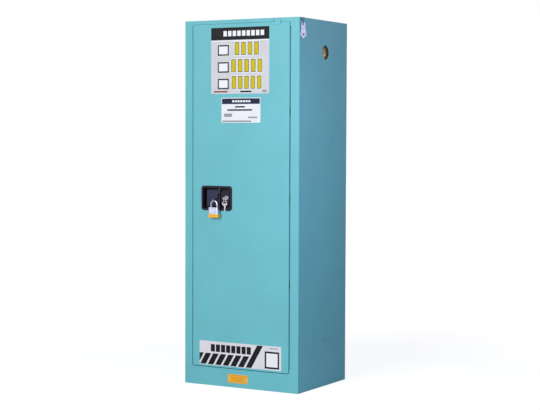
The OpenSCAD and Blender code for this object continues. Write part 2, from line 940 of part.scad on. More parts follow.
// A key lying in X and Y, with its bow's end at the origin and its blade towards +Y
module key(blade) {
    translate([0, 0, -key_t / 2])
        linear_extrude(key_t)
            difference() {
                union() {
                    round_rect(-key_bow_w / 2, 0, key_bow_w / 2, key_bow_l, 8);
                    translate([-key_blade_w / 2, key_bow_l / 2])
                        square([key_blade_w, key_bow_l / 2 + blade]);
                }
                round_rect(-key_hole_w / 2, key_strip, key_hole_w / 2, key_strip + key_hole_l, 1.5);
            }
}

module lock_key() {
    color("silver")
        translate([lock_x, key_y, lock_z])
            key(boss_y + 18 - key_y - key_bow_l);
}

// The ring through the key's bow, and the second key on it
module spare_key_ring() {
    color("silver") {
        translate([key_ring_x, key_ring_y, key_ring_z])
            rotate([0, 90, 0])
                rotate_extrude()
                    translate([key_ring_r, 0])
                        circle(key_wire_r, $fn = 24);
        translate([key_ring_x, key_ring_y, spare_z])
            rotate([-90, 0, 0])
                key(23);
    }
}

// Latch: a hub turns in the door's left side and pulls two rods and a bolt
module latch_plate() {
    color("silver") {
        box(hub_x - 20, hub_x + 20, cavity_y1 - 2, cavity_y1, hub_z - 30, hub_z + 40);
        bar_y(hub_x, hub_z, 3, hub_y - 4.5, cavity_y1);
        bar_y(hub_x, hub_z, 5, hub_y - 4.5, hub_y - 2);
    }
}

module latch_hub() {
    color("gainsboro")
        difference() {
            union() {
                bar_y(hub_x, hub_z, hub_r + 4, hub_y - 1.5, hub_y + 1.5);
                for (s = [-1, 1])
                    bar_y(hub_x + s * hub_r, hub_z, hub_pin_r, rod_y - 3, hub_y);
                bar_y(hub_x, hub_z + hub_r, hub_pin_r, bolt_y - 3, hub_y);
                bar_y(hub_x, hub_z - hub_r, hub_pin_r, hub_y, draw_y + bar_t / 2 + 0.6);
            }
            bar_y(hub_x, hub_z, 3 + pin_clear, hub_y - 3, hub_y + 3);
        }
}

module draw_bar() {
    y0 = draw_y - bar_t / 2;
    y1 = draw_y + bar_t / 2;
    low = hub_z - hub_r - 8;
    high = hub_z - 4;
    end = paddle_x1 + nose_r + 6;
    window = nose_r + 0.6;
    color("darkgray")
        difference() {
            union() {
                box(hub_x - 8, end, y0, y1, low, high);
                box(end - 18, end, y0, y1, lug_z0 - 5, high);
            }
            box(hub_x - slot_r, hub_x + slot_r, y0 - cut, y1 + cut, hub_z - hub_r - slot_r,
                hub_z - hub_r + drift + slot_r);
            box(paddle_x1 - window, paddle_x1 + window, y0 - cut, y1 + cut, lug_z0 - 1.5, lug_z0 + lug_h + 1.5);
        }
}

module side_bolt() {
    z = hub_z + hub_r;
    x_end = hub_x - 8;
    tip = 3;
    color("gainsboro") {
        bar_x(bolt_y, z, bolt_r, door_x0 - reach + tip, x_end);
        translate([door_x0 - reach, bolt_y, z])
            rotate([0, 90, 0])
                cylinder(r1 = bolt_r - tip, r2 = bolt_r, h = tip);
        difference() {
            box(x_end, hub_x + slot_r + 1.6, bolt_y - 1.5, bolt_y + 1.5, z - drift - slot_r - 3, z + bolt_r);
            box(hub_x - slot_r, hub_x + slot_r, bolt_y - 3, bolt_y + 3, z - drift - slot_r, z + slot_r);
        }
    }
}

// One rod: s is 1 for the upper rod and -1 for the lower
module rod(s, door_edge) {
    x = hub_x + s * hub_r;
    end = door_edge + s * reach;
    tip = 2;
    z0 = hub_z + s * 6;
    half = slot_r + 2.4;
    xa = min(x - s * drift, x) - half;
    xb = max(x - s * drift, x) + half;
    color("silver") {
        bar_z(x, rod_y, rod_r, min(z0, end - s * tip), max(z0, end - s * tip));
        translate([x, rod_y, end])
            rotate([s > 0 ? 180 : 0, 0, 0])
                cylinder(r1 = rod_r - tip / 2, r2 = rod_r, h = tip);
        difference() {
            box(xa, xb, rod_y - 1.5, rod_y + 1.5, hub_z - 6, hub_z + 6);
            box(xa + 2.4, xb - 2.4, rod_y - 3, rod_y + 3, hub_z - slot_r, hub_z + slot_r);
        }
    }
}

module upper_rod() {
    rod(1, set_out_z1);
}

module lower_rod() {
    rod(-1, door_z0);
}

module latch_guides() {
    guides = [
        [hub_x + hub_r, hub_z + 62],
        [hub_x + hub_r, set_out_z1 - 40],
        [hub_x - hub_r, hub_z - 62],
        [hub_x - hub_r, door_z0 + 40]
    ];
    color("white")
        for (g = guides)
            difference() {
                box(g[0] - 7, g[0] + 7, rod_y - 6, cavity_y1, g[1] - 2, g[1] + 2);
                bar_z(g[0], rod_y, rod_r + slip, g[1] - 2 - cut, g[1] + 2 + cut);
            }
    color("white")
        difference() {
            bar_x(bolt_y, hub_z + hub_r, bolt_r + 2.6, door_x0 + sheet, door_x0 + sheet + 7);
            bar_x(bolt_y, hub_z + hub_r, bolt_r + slip, door_x0, door_x0 + sheet + 7 + cut);
        }
}

module strike_plates() {
    color("silver") {
        difference() {
            box(open_x0 - sheet - 2, open_x0 - sheet, bolt_y - 8, bolt_y + 12, hub_z + hub_r - 16, hub_z + hub_r + 16);
            bar_x(bolt_y, hub_z + hub_r, bolt_r + 0.6, open_x0 - sheet - 3, open_x0);
        }
        difference() {
            box(hub_x + hub_r - 12, hub_x + hub_r + 12, rod_y - 8, rod_y + 8, open_z1 + sheet, open_z1 + sheet + 2);
            bar_z(hub_x + hub_r, rod_y, rod_r + 0.6, open_z1, open_z1 + sheet + 3);
        }
        difference() {
            box(hub_x - hub_r - 9, hub_x - hub_r + 12, rod_y - 8, rod_y + 8, open_z0 - sheet - 2, open_z0 - sheet);
            bar_z(hub_x - hub_r, rod_y, rod_r + 0.6, open_z0 - sheet - 3, open_z0);
        }
    }
}

// Padlock: the shackle's long leg is at the left
leg_long = 24;
leg_short = 8;

module padlock_shackle() {
    color("gainsboro") {
        translate([eye_x, padlock_y, arch_z])
            rotate([90, 0, 0])
                rotate_extrude(angle = 180)
                    translate([shackle_r, 0])
                        circle(d = shackle_d);
        bar_z(eye_x - shackle_r, padlock_y, shackle_d / 2, padlock_z1 - leg_long, arch_z);
        bar_z(eye_x + shackle_r, padlock_y, shackle_d / 2, padlock_z1 - leg_short, arch_z);
    }
}

plate_count = 10;
plate_groove = 0.5;

module padlock_body() {
    plate = padlock_h / plate_count;
    color("silver")
        difference() {
            translate([eye_x, padlock_y, padlock_z0])
                for (n = [0:plate_count - 1])
                    translate([0, 0, n * plate]) {
                        linear_extrude(plate)
                            round_rect(-padlock_w / 2 + plate_groove, -padlock_t / 2 + plate_groove,
                                padlock_w / 2 - plate_groove, padlock_t / 2 - plate_groove, 5);
                        translate([0, 0, plate_groove])
                            linear_extrude(plate - 2 * plate_groove)
                                round_rect(-padlock_w / 2, -padlock_t / 2, padlock_w / 2, padlock_t / 2, 6);
                    }
            bar_z(eye_x - shackle_r, padlock_y, shackle_d / 2 + slip, padlock_z1 - leg_long - 1, padlock_z1 + cut);
            bar_z(eye_x + shackle_r, padlock_y, shackle_d / 2 + slip, padlock_z1 - leg_short - 1, padlock_z1 + cut);
        }
}

module padlock_bumper() {
    color("gold")
        translate([eye_x, padlock_y, padlock_z0 - bumper_t])
            difference() {
                linear_extrude(bumper_h)
                    round_rect(-padlock_w / 2 - bumper_t, -padlock_t / 2 - bumper_t,
                        padlock_w / 2 + bumper_t, padlock_t / 2 + bumper_t, 6 + bumper_t);
                translate([0, 0, bumper_t])
                    linear_extrude(bumper_h)
                        round_rect(-padlock_w / 2, -padlock_t / 2, padlock_w / 2, padlock_t / 2, 6);
                cylinder(r = 8, h = 3 * bumper_t, center = true);
            }
}

// Fusible link on its hook and eye
module link_eye() {
    shank = link_x - eye_ring_r;
    color("dimgray")
        translate([0, link_y, link_eye_z]) {
            bar_x(0, 0, 2, x_side - sheet - 7, x_side);
            bar_x(0, 0, eye_wire_r + 0.3, x_side, shank);
            bar_x(0, 0, 4, x_side, x_side + 1);
            translate([x_side - sheet - 4, 0, 0])
                rotate([0, 90, 0])
                    cylinder(d = 8, h = 4, $fn = 6);
            translate([link_x, 0, 0])
                rotate([90, 0, 0])
                    rotate_extrude()
                        translate([eye_ring_r, 0])
                            circle(eye_wire_r, $fn = 24);
        }
}

// Turns what is drawn in X and Z, so that X points along the link's face normal
module on_link() {
    translate([link_x, link_y, 0])
        rotate([0, 0, -link_turn])
            children();
}

module link_hook() {
    color("dimgray")
        on_link()
            translate([0, 0, hook_z])
                rotate([90, 0, 0]) {
                    rotate([0, 0, -90])
                        rotate_extrude(angle = 300)
                            translate([hook_r, 0])
                                circle(hook_wire_r, $fn = 24);
                    translate([0, -hook_r - hook_low_r, 0])
                        rotate([0, 0, 90])
                            rotate_extrude(angle = 300)
                                translate([hook_low_r, 0])
                                    circle(hook_wire_r, $fn = 24);
                }
}

module fusible_link() {
    half = link_w / 2;
    neck = half - 3.5;
    top = link_hole_r + 3.5;
    color("whitesmoke")
        on_link()
            translate([-link_t / 2, 0, link_z])
                difference() {
                    along_x(0, link_t)
                        polygon([
                            [-neck + 3, top], [neck - 3, top], [neck, 0], [neck, -20],
                            [half, -link_holes + 8], [half, -link_holes - 4], [0, -link_holes - 18],
                            [-half, -link_holes - 4], [-half, -link_holes + 8], [-neck, -20], [-neck, 0]
                        ]);
                    bar_x(0, 0, link_hole_r, -cut, link_t + cut);
                    bar_x(0, -link_holes, link_hole_r, -cut, link_t + cut);
                    box(-cut, link_t / 2, -half - cut, half + cut, -link_holes - 20, -30);
                    box(link_t / 2, link_t + cut, -half - cut, half + cut, -14, 12);
                }
}

// The tab on the door's top edge, in front of the rail, that holds the link's free end
tab_w = 44;
tab_h = 28;
tab_t = 3;

module door_tab() {
    x1 = hinge_x - 49;
    x0 = x1 - tab_w;
    z0 = set_out_z1 - 11;
    color("mediumturquoise")
        difference() {
            upright(y_front - tab_t, y_front)
                difference() {
                    round_rect(x0, z0, x1, z0 + tab_h, 7);
                    translate([x0 + 9, z0 + 12])
                        square([6, 12]);
                }
            box(x0 - cut, x1 + cut, y_front - 1, y_front + cut, door_z1, z0 + tab_h + cut);
        }
}

// Bare label foils
module foil(x0, x1, z0, z1) {
    box(x0, x1, y_front - label_t, y_front, z0, z1);
}

module door_labels() {
    shift = -3.5;
    main_z1 = set_out_z1 - 15;
    info_z1 = main_z1 - main_label_h - 18;
    lower_z0 = door_z0 + 8;
    color("whitesmoke") {
        foil(door_mid + shift - main_label_w / 2, door_mid + shift + main_label_w / 2, main_z1 - main_label_h, main_z1);
        foil(door_mid + 2 - info_label_w / 2, door_mid + 2 + info_label_w / 2, info_z1 - info_label_h, info_z1);
        foil(door_x0 + 36, door_x1 - 37, lower_z0, lower_z0 + lower_label_h);
    }
}

module sill_label() {
    x = door_mid - 11;
    color("gold")
        foil(x - sill_label_w / 2, x + sill_label_w / 2, 22, 22 + sill_label_h);
}

left_side_panel();
right_side_panel();
back_panel();
top_panel();
base_plate();
left_stile();
right_stile();
top_rail();
front_sill();
liner_left();
liner_right();
liner_back();
liner_top();
liner_floor();
shelf_standards();
shelf_clips();
shelf_1();
shelf_2();
shelf_3();
tray_1();
tray_2();
tray_3();
vent_sleeves();
flash_screens();
vent_plugs();
earth_screw();
levelling_feet();
hinge_frame_leaf();
hinge_door_leaf();
hinge_pin();
hinge_springs();
door_outer_skin();
door_inner_skin();
door_stiffener();
handle_housing();
paddle();
paddle_pin();
paddle_spring();
padlock_eye();
lock_cylinder();
lock_plug();
lock_key();
spare_key_ring();
latch_plate();
latch_hub();
draw_bar();
side_bolt();
upper_rod();
lower_rod();
latch_guides();
strike_plates();
padlock_shackle();
padlock_body();
padlock_bumper();
link_eye();
link_hook();
fusible_link();
door_tab();
door_labels();
sill_label();
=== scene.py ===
import json
import math

import bpy
from mathutils import Matrix, Vector


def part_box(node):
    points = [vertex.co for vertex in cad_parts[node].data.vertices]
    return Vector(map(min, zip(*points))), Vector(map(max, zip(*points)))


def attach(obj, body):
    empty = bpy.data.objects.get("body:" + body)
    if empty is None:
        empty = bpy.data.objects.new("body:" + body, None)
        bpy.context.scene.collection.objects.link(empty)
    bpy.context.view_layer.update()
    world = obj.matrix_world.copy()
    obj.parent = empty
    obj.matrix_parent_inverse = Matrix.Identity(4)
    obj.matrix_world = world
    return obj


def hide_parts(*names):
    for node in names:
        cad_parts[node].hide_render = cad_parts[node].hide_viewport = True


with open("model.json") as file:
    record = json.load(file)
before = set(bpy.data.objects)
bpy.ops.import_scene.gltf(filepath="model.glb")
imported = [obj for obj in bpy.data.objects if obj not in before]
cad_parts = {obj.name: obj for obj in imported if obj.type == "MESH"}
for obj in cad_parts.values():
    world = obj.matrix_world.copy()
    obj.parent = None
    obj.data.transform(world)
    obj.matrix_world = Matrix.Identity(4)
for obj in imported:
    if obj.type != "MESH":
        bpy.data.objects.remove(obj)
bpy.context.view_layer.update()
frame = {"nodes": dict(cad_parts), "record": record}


# Studio: a white room for a product picture. One large soft lamp stands well in front of the cabinet,
# a small cool one close to its right front corner, and the room itself gives a low even light.
# Floor and room look white to the camera, and the floor keeps the cabinet's shadow.
CAMERA_PLACE = (3.341, -5.806, 1.137)
CAMERA_TILT = math.radians(87.257)
CAMERA_YAW = math.radians(29.78)
CAMERA_ROLL = math.radians(-0.198)
CAMERA_LENS = 97.17
ROOM_LIGHT = 0.26
ROOM_REFLECTED = 0.9
FLOOR_SIZE = 60.0


def add_node(tree, kind, settings=None, **inputs):
    """A new node with its settings; an input takes a value or another node's output."""
    node = tree.nodes.new(kind)
    for name, value in (settings or {}).items():
        setattr(node, name, value)
    for name, value in inputs.items():
        socket = node.inputs[int(name[1:]) if name[1:].isdigit() else name.replace("_", " ")]
        if isinstance(value, bpy.types.NodeSocket):
            tree.links.new(value, socket)
        else:
            socket.default_value = value
    return node


def maths(tree, operation, first, second=0.0):
    """The output of a Math node, held between 0 and 1 where that is asked for by a _CLAMPED ending."""
    clamped = operation.endswith("_CLAMPED")
    settings = {"operation": operation.replace("_CLAMPED", ""), "use_clamp": clamped}
    return add_node(tree, "ShaderNodeMath", settings, _0=first, _1=second).outputs[0]


def seen_directly(tree):
    """1 for rays from the camera, also through a gauze, and 0 for light that bounces off a surface."""
    path = tree.nodes.new("ShaderNodeLightPath")
    return maths(tree, "MAXIMUM", path.outputs["Is Camera Ray"], path.outputs["Is Transmission Ray"])


def add_floor():
    bpy.ops.mesh.primitive_plane_add(size=FLOOR_SIZE, location=(0, 0, 0))
    floor = bpy.context.object
    floor.name = "studio_floor"
    material = bpy.data.materials.new("studio_floor")
    material.use_nodes = True
    tree = material.node_tree
    tree.nodes.clear()
    place = tree.nodes.new("ShaderNodeTexCoord").outputs["Object"]
    distance = add_node(tree, "ShaderNodeVectorMath", {"operation": "LENGTH"}, _0=place).outputs["Value"]
    fade = add_node(tree, "ShaderNodeMapRange", None, Value=distance, From_Min=1.2, From_Max=3.5,
                    To_Min=0.85, To_Max=1.0).outputs["Result"]
    shadow_keeper = add_node(tree, "ShaderNodeBsdfDiffuse", None, Color=(0.36, 0.36, 0.36, 1))
    glow = add_node(tree, "ShaderNodeEmission", None, Color=(1, 1, 1, 1), Strength=fade)
    white = add_node(tree, "ShaderNodeAddShader", None, _0=shadow_keeper.outputs[0], _1=glow.outputs[0])
    bounce = add_node(tree, "ShaderNodeBsdfDiffuse", None, Color=(0.7, 0.7, 0.7, 1))
    mix = add_node(tree, "ShaderNodeMixShader", None, _0=seen_directly(tree), _1=bounce.outputs[0],
                   _2=white.outputs[0])
    add_node(tree, "ShaderNodeOutputMaterial", None, Surface=mix.outputs[0])
    floor.data.materials.append(material)


def add_room():
    world = bpy.data.worlds.new("studio_room")
    bpy.context.scene.world = world
    world.use_nodes = True
    tree = world.node_tree
    tree.nodes.clear()
    reflected = tree.nodes.new("ShaderNodeLightPath").outputs["Is Glossy Ray"]
    level = add_node(tree, "ShaderNodeMapRange", None, Value=reflected, To_Min=ROOM_LIGHT,
                     To_Max=ROOM_REFLECTED).outputs["Result"]
    dim = add_node(tree, "ShaderNodeBackground", None, Color=(0.82, 0.86, 1.0, 1), Strength=level)
    white = add_node(tree, "ShaderNodeBackground", None, Color=(1, 1, 1, 1), Strength=1.0)
    mix = add_node(tree, "ShaderNodeMixShader", None, _0=seen_directly(tree), _1=dim.outputs[0],
                   _2=white.outputs[0])
    add_node(tree, "ShaderNodeOutputWorld", None, Surface=mix.outputs[0])


def add_lamp(name, place, aim, width, height, watts, color=(1, 1, 1)):
    """A soft rectangular lamp that shines from its place towards its aim."""
    lamp = bpy.data.lights.new(name, "AREA")
    lamp.shape = "RECTANGLE"
    lamp.size = width
    lamp.size_y = height
    lamp.energy = watts
    lamp.color = color
    holder = bpy.data.objects.new(name, lamp)
    holder.location = place
    holder.rotation_euler = (Vector(aim) - Vector(place)).to_track_quat("-Z", "Y").to_euler()
    holder.visible_camera = False
    bpy.context.scene.collection.objects.link(holder)


def add_camera():
    lens = bpy.data.cameras.new("camera")
    lens.lens = CAMERA_LENS
    lens.sensor_width = 36
    camera = bpy.data.objects.new("camera", lens)
    camera.location = CAMERA_PLACE
    camera.rotation_euler = (CAMERA_TILT, CAMERA_ROLL, CAMERA_YAW)
    bpy.context.scene.collection.objects.link(camera)
    bpy.context.scene.camera = camera


bpy.context.scene.view_settings.view_transform = "Standard"
bpy.ops.object.select_all(action="DESELECT")
add_floor()
add_room()
add_lamp("front_lamp", (-0.3, -5.8, 2.4), (0, -0.2, 0.9), 2.4, 2.4, 224)
add_lamp("side_lamp", (1.1, -0.55, 1.1), (0.3, -0.1, 1.0), 0.4, 1.5, 5.8, (0.62, 0.70, 1.0))
add_camera()


# Outer shell: side, back and top panels round a front frame of two stiles, a top rail and a sill, all
# of 1.2 mm sheet steel, folded and spot welded. It is powder coated in one turquoise blue, with the
# fine ripple and slow waves of coated sheet, and the coat is a little thin and pale along the folds.
SHELL_W = 0.2953
SHELL_D = 0.2286
SHELL_H = 1.651
FOLD = 0.0011
TURQUOISE = (106, 188, 196)


def tone(red, green, blue):
    """A colour picked on a screen, 0 to 255, as the shaders want it."""
    def channel(value):
        part = value / 255
        return part / 12.92 if part <= 0.04045 else ((part + 0.055) / 1.055) ** 2.4
    return (channel(red), channel(green), channel(blue), 1.0)


def shifted(color, lightness):
    """The same colour, lighter or darker by a share of itself."""
    return tone(*[min(255, part * lightness) for part in color])


def mix(tree, share, first, second):
    """A blend of two colours."""
    node = add_node(tree, "ShaderNodeMix", {"data_type": "RGBA"}, _0=share, _6=first, _7=second)
    return node.outputs[2]


def spread(tree, value, low, high, start=0.0, end=1.0):
    """A value from between start and end, laid out between low and high."""
    return add_node(tree, "ShaderNodeMapRange", None, Value=value, From_Min=start, From_Max=end,
                    To_Min=low, To_Max=high).outputs["Result"]


def cloud(tree, size, detail=2.0, stretch=None):
    """Cloudy noise, about 0.5 on average, with patches of a size in metres."""
    place = tree.nodes.new("ShaderNodeTexCoord").outputs["Object"]
    if stretch:
        place = add_node(tree, "ShaderNodeMapping", None, Vector=place, Scale=stretch).outputs[0]
    scale = maths(tree, "DIVIDE", 1.0, size)
    noise = add_node(tree, "ShaderNodeTexNoise", None, Vector=place, Scale=scale, Detail=detail)
    return noise.outputs[0]


def new_group(name, inputs, outputs):
    """A node group with named number sockets; gives the group and what its inputs put out."""
    group = bpy.data.node_groups.new(name, "ShaderNodeTree")
    for label, value in inputs.items():
        socket = group.interface.new_socket(label, in_out="INPUT", socket_type="NodeSocketFloat")
        socket.default_value = value
    for label in outputs:
        group.interface.new_socket(label, in_out="OUTPUT", socket_type="NodeSocketFloat")
    return group, group.nodes.new("NodeGroupInput").outputs


def give_out(group, **results):
    add_node(group, "NodeGroupOutput", None, **results)


def from_group(tree, group, **inputs):
    return add_node(tree, "ShaderNodeGroup", {"node_tree": group}, **inputs).outputs


def make_coat_ripple():
    """Height of a sprayed coat's fine ripple, and slow patches of slightly different gloss and tone."""
    group, given = new_group("coat_ripple", {"Ripple Size": 0.002, "Patch Size": 0.2},
                             ["Height", "Patches"])
    fine = cloud(group, given["Ripple Size"])
    coarse = cloud(group, maths(group, "MULTIPLY", given["Ripple Size"], 3.5))
    height = maths(group, "ADD", maths(group, "MULTIPLY", fine, 0.45),
                   maths(group, "MULTIPLY", coarse, 0.55))
    patches = spread(group, cloud(group, given["Patch Size"], 3.0), 0.0, 1.0, 0.3, 0.7)
    give_out(group, Height=height, Patches=patches)
    return group


def make_worn_edges():
    """1 on edges that stand proud and get rubbed, broken up into stretches, 0 on open faces."""
    group, given = new_group("worn_edges", {"Width": 0.001, "Stretch Length": 0.05}, ["Mask"])
    around = add_node(group, "ShaderNodeBevel", {"samples": 6}, Radius=given["Width"]).outputs[0]
    face = group.nodes.new("ShaderNodeNewGeometry").outputs["Normal"]
    along = add_node(group, "ShaderNodeVectorMath", {"operation": "DOT_PRODUCT"}, _0=around, _1=face)
    edge = spread(group, along.outputs["Value"], 1.0, 0.0, 0.75, 0.99)
    broken = spread(group, cloud(group, given["Stretch Length"], 4.0), 0.15, 1.0, 0.4, 0.62)
    give_out(group, Mask=maths(group, "MULTIPLY_CLAMPED", edge, broken))
    return group


def make_handling_marks():
    """Smudges from hands and cloths, and fine scratches that run mostly level."""
    group, given = new_group("handling_marks", {"Smudge Size": 0.08, "Scratch Width": 0.0006},
                             ["Smudges", "Scratches"])
    smudges = spread(group, cloud(group, given["Smudge Size"], 5.0), 0.0, 1.0, 0.48, 0.72)
    fine = cloud(group, given["Scratch Width"], 1.0, (0.02, 0.02, 1.0))
    where = spread(group, cloud(group, given["Smudge Size"], 3.0, (1.0, 1.0, 0.4)), 0.0, 1.0, 0.52, 0.66)
    scratches = maths(group, "MULTIPLY_CLAMPED", spread(group, fine, 0.0, 1.0, 0.64, 0.7), where)
    give_out(group, Smudges=smudges, Scratches=scratches)
    return group


COAT_RIPPLE = make_coat_ripple()
WORN_EDGES = make_worn_edges()
HANDLING_MARKS = make_handling_marks()


def new_material(name, **constants):
    """A material with its node tree and its shader, whose named inputs are set to constants."""
    material = bpy.data.materials.new(name)
    material.use_nodes = True
    shader = material.node_tree.nodes["Principled BSDF"]
    for label, value in constants.items():
        shader.inputs[label.replace("_", " ")].default_value = value
    return material, material.node_tree, shader


def raise_surface(tree, shader, *layers):
    """Bumps laid one over the other: pairs of a height from 0 to 1 and its depth in metres."""
    normal = None
    for height, depth in layers:
        bump = add_node(tree, "ShaderNodeBump", None, Height=height, Distance=depth)
        if normal:
            tree.links.new(normal, bump.inputs["Normal"])
        normal = bump.outputs[0]
    tree.links.new(normal, shader.inputs["Normal"])


def coated_steel(name, color, gloss, ripple, edge_color, edge_share, edge_width=0.0009, shine=0.5):
    """Powder coat on steel: gloss is the roughness of its smooth parts."""
    material, tree, shader = new_material(name, IOR=1.5, Specular_IOR_Level=shine)
    coat = from_group(tree, COAT_RIPPLE, Ripple_Size=ripple, Patch_Size=0.22)
    worn = from_group(tree, WORN_EDGES, Width=edge_width)["Mask"]
    marks = from_group(tree, HANDLING_MARKS)
    body = mix(tree, coat["Patches"], shifted(color, 0.985), shifted(color, 1.015))
    body = mix(tree, maths(tree, "MULTIPLY", marks["Smudges"], 0.1), body, shifted(color, 0.93))
    body = mix(tree, maths(tree, "MULTIPLY", marks["Scratches"], 0.22), body, shifted(color, 1.12))
    body = mix(tree, maths(tree, "MULTIPLY", worn, edge_share), body, edge_color)
    tree.links.new(body, shader.inputs["Base Color"])
    dull = maths(tree, "ADD", spread(tree, coat["Patches"], gloss, gloss + 0.06),
                 maths(tree, "MULTIPLY", marks["Smudges"], 0.1))
    rough = maths(tree, "ADD", dull, maths(tree, "MULTIPLY", worn, 0.12))
    tree.links.new(rough, shader.inputs["Roughness"])
    slow = cloud(tree, 0.3, 1.0)
    raise_surface(tree, shader, (slow, 0.0012), (coat["Height"], ripple * 0.012))
    return material


def work_on(piece):
    bpy.ops.object.select_all(action="DESELECT")
    piece.select_set(True)
    bpy.context.view_layer.objects.active = piece


def copy_of(node, ending="finished"):
    """A piece with a CAD node's own shape, its loose triangles joined and its flat faces whole again."""
    piece = bpy.data.objects.new(node + "_" + ending, frame["nodes"][node].data.copy())
    bpy.context.scene.collection.objects.link(piece)
    work_on(piece)
    bpy.ops.mesh.customdata_custom_splitnormals_clear()
    bpy.ops.object.mode_set(mode="EDIT")
    bpy.ops.mesh.select_all(action="SELECT")
    bpy.ops.mesh.remove_doubles(threshold=0.000002)
    bpy.ops.mesh.dissolve_limited(angle_limit=math.radians(0.8))
    bpy.ops.object.mode_set(mode="OBJECT")
    return piece


def apply_modifier(piece, kind, **settings):
    work_on(piece)
    modifier = piece.modifiers.new(kind.lower(), kind)
    for name, value in settings.items():
        setattr(modifier, name, value)
    bpy.ops.object.modifier_apply(modifier=modifier.name)


def round_edges(piece, radius, picked=None, segments=3):
    """Rounds all of a piece's sharp edges, or those whose two ends the picking function takes."""
    settings = {"limit_method": "ANGLE", "angle_limit": math.radians(38)}
    if picked:
        mesh = piece.data
        weights = mesh.attributes.new("bevel_weight_edge", "FLOAT", "EDGE")
        for edge in mesh.edges:
            first, second = [mesh.vertices[corner].co for corner in edge.vertices]
            weights.data[edge.index].value = 1.0 if picked(first, second) else 0.0
        settings = {"limit_method": "WEIGHT"}
    apply_modifier(piece, "BEVEL", width=radius, segments=segments, **settings)
    if picked:
        piece.data.attributes.remove(piece.data.attributes["bevel_weight_edge"])


def smooth(piece, angle=42):
    """Round parts shade smoothly and flat faces stay flat right up to their rounded edges."""
    work_on(piece)
    bpy.ops.object.shade_smooth_by_angle(angle=math.radians(angle))
    apply_modifier(piece, "WEIGHTED_NORMAL", keep_sharp=True)


BODIES = frame["record"]["behaviour"]["bodies"]


def put_in_place(piece, material, *nodes):
    """Finishes a piece and lets it stand for the CAD nodes that it was made from."""
    piece.data.materials.clear()
    piece.data.materials.append(material)
    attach(piece, next(body for body, members in BODIES.items() if nodes[0] in members))
    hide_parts(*nodes)


def finish_node(node, material, radius=None, picked=None):
    """Gives a CAD node its material; with a radius, a copy with rounded edges takes its place."""
    if radius is None:
        mesh = frame["nodes"][node].data
        mesh.materials.clear()
        mesh.materials.append(material)
        return
    piece = copy_of(node)
    round_edges(piece, radius, picked)
    smooth(piece)
    put_in_place(piece, material, node)


def on_shell_corner(first, second):
    """True for an edge that runs along an outer corner of the cabinet's body."""
    def lies_on(axis, place):
        return abs(first[axis] - place) < 1e-5 and abs(second[axis] - place) < 1e-5
    planes = [(0, -SHELL_W), (0, SHELL_W), (1, -SHELL_D), (1, SHELL_D), (2, SHELL_H)]
    return sum(lies_on(axis, place) for axis, place in planes) >= 2


cabinet_paint = coated_steel("cabinet_paint", TURQUOISE, 0.34, 0.0021, tone(150, 208, 216), 0.35)
for node in ("left_side_panel", "right_side_panel", "back_panel", "top_panel", "left_stile",
             "right_stile", "top_rail", "front_sill"):
    finish_node(node, cabinet_paint, FOLD, on_shell_corner)
finish_node("base_plate", cabinet_paint)


# Door: a shallow pan of sheet steel with a flat inner skin and a hat-shaped stiffener between them,
# powder coated with the cabinet. Its front edges are press-brake bends, so they are softly rounded.
HOUSING_LOW, HOUSING_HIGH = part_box("handle_housing")


def on_door_outline(first, second):
    """True for an edge of the door's front face, unless it is at the opening for the housing."""
    def at_opening(end):
        return HOUSING_LOW.x < end.x < HOUSING_HIGH.x and HOUSING_LOW.z < end.z < HOUSING_HIGH.z
    in_front = all(abs(end.y + SHELL_D) < 1e-5 for end in (first, second))
    return in_front and not (at_opening(first) and at_opening(second))


finish_node("door_outer_skin", cabinet_paint, 0.0013, on_door_outline)
finish_node("door_inner_skin", cabinet_paint, 0.0004)
finish_node("door_stiffener", cabinet_paint)


# Liner: the inner box of 1.2 mm steel, an air space away from the outer shell, in the same coat.
# Its sheets are spot welded at their flanges, and their bare edges are hidden by the front frame.
for node in ("liner_left", "liner_right", "liner_back", "liner_top", "liner_floor"):
    finish_node(node, cabinet_paint)


# Shelf hardware: four slotted standards riveted to the liner and the clips that hook into them, of
# roll-formed steel with bright zinc plating, which has faint lengthwise lines and a cloudy sheen.
def make_drawn_lines():
    """Fine lines along a drawn or brushed part, as a height, and the slow cloudiness of its plating."""
    group, given = new_group("drawn_lines", {"Line Width": 0.0004, "Cloud Size": 0.03},
                             ["Lines", "Clouds"])
    lines = cloud(group, given["Line Width"], 3.0, (1.0, 1.0, 0.03))
    clouds = spread(group, cloud(group, given["Cloud Size"], 4.0), 0.0, 1.0, 0.3, 0.7)
    give_out(group, Lines=lines, Clouds=clouds)
    return group


DRAWN_LINES = make_drawn_lines()


def plated_metal(name, color, shade, gloss, line_width=0.0004, cloud_size=0.03, depth=0.000006):
    """Bare or plated metal with clouds between two tones; gloss is the roughness of its bright parts."""
    material, tree, shader = new_material(name, Metallic=1.0)
    drawn = from_group(tree, DRAWN_LINES, Line_Width=line_width, Cloud_Size=cloud_size)
    worn = from_group(tree, WORN_EDGES, Width=0.0005, Stretch_Length=0.01)["Mask"]
    marks = from_group(tree, HANDLING_MARKS, Smudge_Size=0.025, Scratch_Width=0.0002)
    face = mix(tree, drawn["Clouds"], tone(*shade), tone(*color))
    face = mix(tree, maths(tree, "MULTIPLY", marks["Scratches"], 0.3), face, shifted(color, 1.12))
    face = mix(tree, maths(tree, "MULTIPLY", worn, 0.25), face, shifted(color, 1.15))
    tree.links.new(face, shader.inputs["Base Color"])
    rough = maths(tree, "ADD", spread(tree, drawn["Clouds"], gloss + 0.1, gloss),
                  maths(tree, "MULTIPLY", marks["Smudges"], 0.14))
    tree.links.new(rough, shader.inputs["Roughness"])
    raise_surface(tree, shader, (drawn["Lines"], depth))
    return material


bright_zinc = plated_metal("bright_zinc", (205, 207, 204), (172, 176, 182), 0.24)
for node in ("shelf_standards", "shelf_clips"):
    finish_node(node, bright_zinc, 0.0003)


